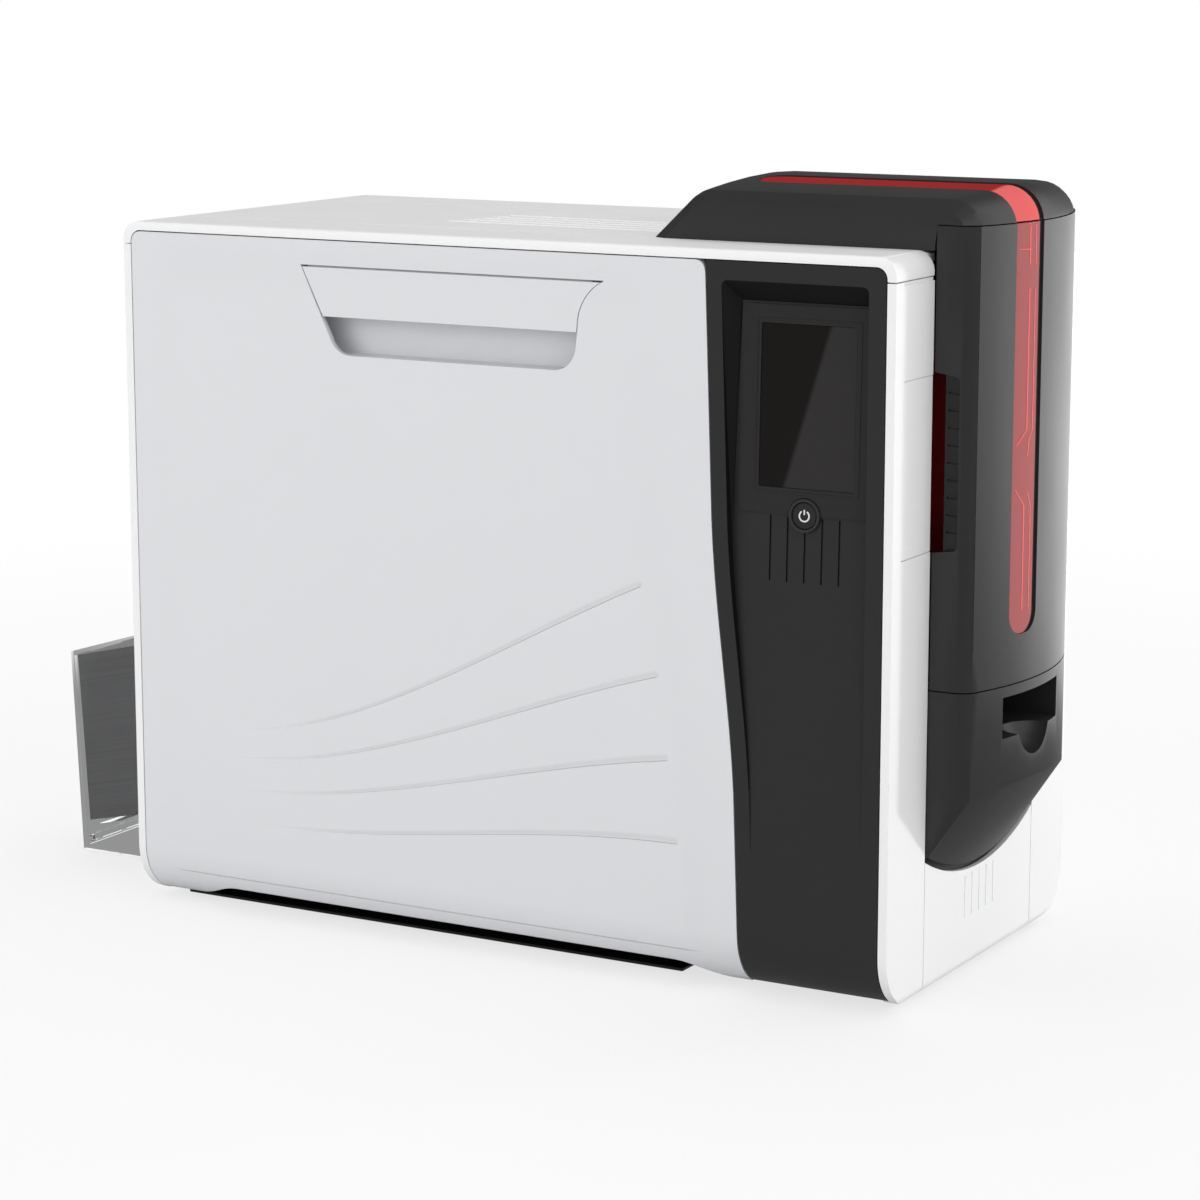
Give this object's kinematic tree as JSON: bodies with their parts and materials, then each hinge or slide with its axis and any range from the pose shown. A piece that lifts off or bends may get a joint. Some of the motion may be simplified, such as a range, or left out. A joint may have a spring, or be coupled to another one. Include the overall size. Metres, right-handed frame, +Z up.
{
  "type": "card printer",
  "caption": "Desktop card printer with drop-down front door, paddle handle, touch display, bowed card feeder tower with hinged door and a clear output hopper",
  "frame": {"origin": "middle of the footprint of the whole object, on the table", "axes": "+X runs from the output hopper to the feeder tower, -Y is the front with the door and display, +Z is up"},
  "size_m": [0.5465, 0.21, 0.378],
  "materials": {
    "casing_white": "white moulded casing, fine satin grain",
    "door_plastic": "pale grey moulded door, fine satin grain",
    "charcoal_plastic": "charcoal moulded plastic, fine spark texture",
    "black_plastic": "black moulded plastic",
    "display_glass": "polished cover of a touch display",
    "red_clear": "clear red moulding, polished",
    "red_plastic": "dark red moulding",
    "clear_plastic": "clear smoked moulding, polished",
    "card_pvc": "stacked plastic cards, satin edges",
    "steel": "plated sheet and turned steel",
    "ceramic": "glazed ceramic on a plated heat sink",
    "rubber": "ground black rubber",
    "silicone": "red-brown silicone sleeve",
    "ribbon_film": "wound colour ribbon, polished",
    "transfer_film": "wound clear amber film, polished",
    "circuit_board": "green solder mask with moulded chips"
  },
  "bodies": {
    "root": {"top_cover": "casing_white", "left_end_panel": "casing_white", "right_end_frame": "casing_white", "lower_end_panel": "casing_white", "rear_cover": "casing_white", "lock_cover": "casing_white", "control_fascia": "charcoal_plastic", "display_bezel": "charcoal_plastic", "hood": "charcoal_plastic", "feeder_housing": "charcoal_plastic", "transport_frame": "charcoal_plastic", "base_tray": "black_plastic", "button_ring": "black_plastic", "timing_belt": "black_plastic", "fan_housing": "black_plastic", "mains_inlet": "black_plastic", "drive_motor": "black_plastic", "display_glass": "display_glass", "hood_window": "red_clear", "card_magazine": "red_plastic", "output_hopper": "clear_plastic", "blank_cards": "card_pvc", "finished_cards": "card_pvc", "feeder_hinge_pin": "steel", "door_hinge_rod": "steel", "chassis_plate": "steel", "power_supply": "steel", "data_ports": "steel", "frame_screws": "steel", "rubber_feet": "rubber", "ink_ribbon": "ribbon_film", "transfer_film": "transfer_film", "main_board": "circuit_board"},
    "front_door": {"front_door": "door_plastic", "handle_pin": "steel"},
    "door_handle": {"handle_paddle": "door_plastic"},
    "feeder_door": {"feeder_door": "charcoal_plastic", "feeder_window": "red_clear", "grip_insert": "black_plastic"},
    "print_head": {"printhead_arm": "steel", "thermal_printhead": "ceramic"},
    "card_weight": {"card_weight": "charcoal_plastic"},
    "pick_roller": {"pick_roller": "rubber"},
    "power_button": {"power_button": "black_plastic"},
    "hopper_flap": {"hopper_flap": "clear_plastic"},
    "platen_roller": {"platen_roller": "rubber"},
    "transfer_roller": {"transfer_roller": "silicone"},
    "ribbon_supply": {"ribbon_supply_spool": "ribbon_film"},
    "ribbon_takeup": {"ribbon_takeup_spool": "ribbon_film"},
    "film_supply": {"film_supply_spool": "transfer_film"},
    "film_takeup": {"film_takeup_spool": "transfer_film"},
    "drive_roller_1": {"drive_roller_1": "rubber"},
    "drive_roller_2": {"drive_roller_2": "rubber"},
    "drive_roller_3": {"drive_roller_3": "rubber"},
    "pinch_roller_1": {"pinch_roller_1": "rubber"},
    "pinch_roller_2": {"pinch_roller_2": "rubber"},
    "pinch_roller_3": {"pinch_roller_3": "rubber"},
    "motor_shaft": {"motor_pulley": "steel"},
    "fan_rotor": {"fan_rotor": "black_plastic"}
  },
  "joints": [
    {"name": "front_door_hinge", "type": "hinge", "parent": "root", "child": "front_door", "pos_m": [0.00225, -0.089, 0.018], "axis": [1, 0, 0], "range_deg": [0, 88]},
    {"name": "handle_pull", "type": "hinge", "parent": "front_door", "child": "door_handle", "pos_m": [0.00965, -0.1016, 0.3306], "axis": [-1, 0, 0], "range_deg": [0, 15], "stiffness_Nm_per_rad": 0.3},
    {"name": "feeder_door_hinge", "type": "hinge", "parent": "root", "child": "feeder_door", "pos_m": [0.24645, 0.0601, 0.255], "axis": [0, 0, 1], "range_deg": [0, 90]},
    {"name": "power_button_press", "type": "slide", "parent": "root", "child": "power_button", "axis": [0, 0.9995, -0.0309], "range_m": [0, 0.0012], "stiffness_N_per_m": 600},
    {"name": "hopper_flap_hinge", "type": "hinge", "parent": "root", "child": "hopper_flap", "pos_m": [-0.26285, -0.009, 0.0075], "axis": [0, -1, 0], "range_deg": [0, 85]},
    {"name": "card_weight_slide", "type": "slide", "parent": "root", "child": "card_weight", "axis": [0, 0, 1], "range_m": [0, 0.06]},
    {"name": "printhead_lift", "type": "hinge", "parent": "root", "child": "print_head", "pos_m": [0.02725, -0.009, 0.2], "axis": [0, 1, 0], "range_deg": [0, 12]},
    {"name": "pick_roller_spin", "type": "hinge", "parent": "root", "child": "pick_roller", "pos_m": [0.22225, -0.009, 0.1391], "axis": [0, 1, 0], "continuous": true},
    {"name": "drive_roller_1_spin", "type": "hinge", "parent": "root", "child": "drive_roller_1", "pos_m": [0.13425, -0.009, 0.1226], "axis": [0, 1, 0], "continuous": true},
    {"name": "drive_roller_2_spin", "type": "hinge", "parent": "root", "child": "drive_roller_2", "pos_m": [0.01025, -0.009, 0.1226], "axis": [0, 1, 0], "continuous": true},
    {"name": "drive_roller_3_spin", "type": "hinge", "parent": "root", "child": "drive_roller_3", "pos_m": [-0.15375, -0.009, 0.1226], "axis": [0, 1, 0], "continuous": true},
    {"name": "motor_spin", "type": "hinge", "parent": "root", "child": "motor_shaft", "pos_m": [0.07225, -0.009, 0.068], "axis": [0, 1, 0], "continuous": true},
    {"name": "pinch_roller_1_spin", "type": "hinge", "parent": "root", "child": "pinch_roller_1", "pos_m": [0.13425, -0.009, 0.1365], "axis": [0, 1, 0], "continuous": true},
    {"name": "pinch_roller_2_spin", "type": "hinge", "parent": "root", "child": "pinch_roller_2", "pos_m": [0.01025, -0.009, 0.1365], "axis": [0, 1, 0], "continuous": true},
    {"name": "pinch_roller_3_spin", "type": "hinge", "parent": "root", "child": "pinch_roller_3", "pos_m": [-0.15375, -0.009, 0.1365], "axis": [0, 1, 0], "continuous": true},
    {"name": "ribbon_supply_spin", "type": "hinge", "parent": "root", "child": "ribbon_supply", "pos_m": [0.10225, -0.009, 0.29], "axis": [0, 1, 0], "continuous": true},
    {"name": "ribbon_takeup_spin", "type": "hinge", "parent": "root", "child": "ribbon_takeup", "pos_m": [0.10225, -0.009, 0.205], "axis": [0, 1, 0], "continuous": true},
    {"name": "film_supply_spin", "type": "hinge", "parent": "root", "child": "film_supply", "pos_m": [-0.12975, -0.009, 0.28], "axis": [0, 1, 0], "continuous": true},
    {"name": "film_takeup_spin", "type": "hinge", "parent": "root", "child": "film_takeup", "pos_m": [-0.12975, -0.009, 0.19], "axis": [0, 1, 0], "continuous": true},
    {"name": "platen_spin", "type": "hinge", "parent": "root", "child": "platen_roller", "pos_m": [-0.01975, -0.009, 0.238], "axis": [0, 1, 0], "continuous": true},
    {"name": "transfer_roller_spin", "type": "hinge", "parent": "root", "child": "transfer_roller", "pos_m": [-0.05775, -0.009, 0.1463], "axis": [0, 1, 0], "continuous": true},
    {"name": "fan_spin", "type": "hinge", "parent": "root", "child": "fan_rotor", "pos_m": [-0.08775, -0.009, 0.255], "axis": [0, 1, 0], "continuous": true}
  ],
  "couplings": [
    {"joint": "drive_roller_2_spin", "follows": "drive_roller_1_spin", "ratio": 1},
    {"joint": "drive_roller_3_spin", "follows": "drive_roller_1_spin", "ratio": 1},
    {"joint": "motor_spin", "follows": "drive_roller_1_spin", "ratio": 1}
  ]
}
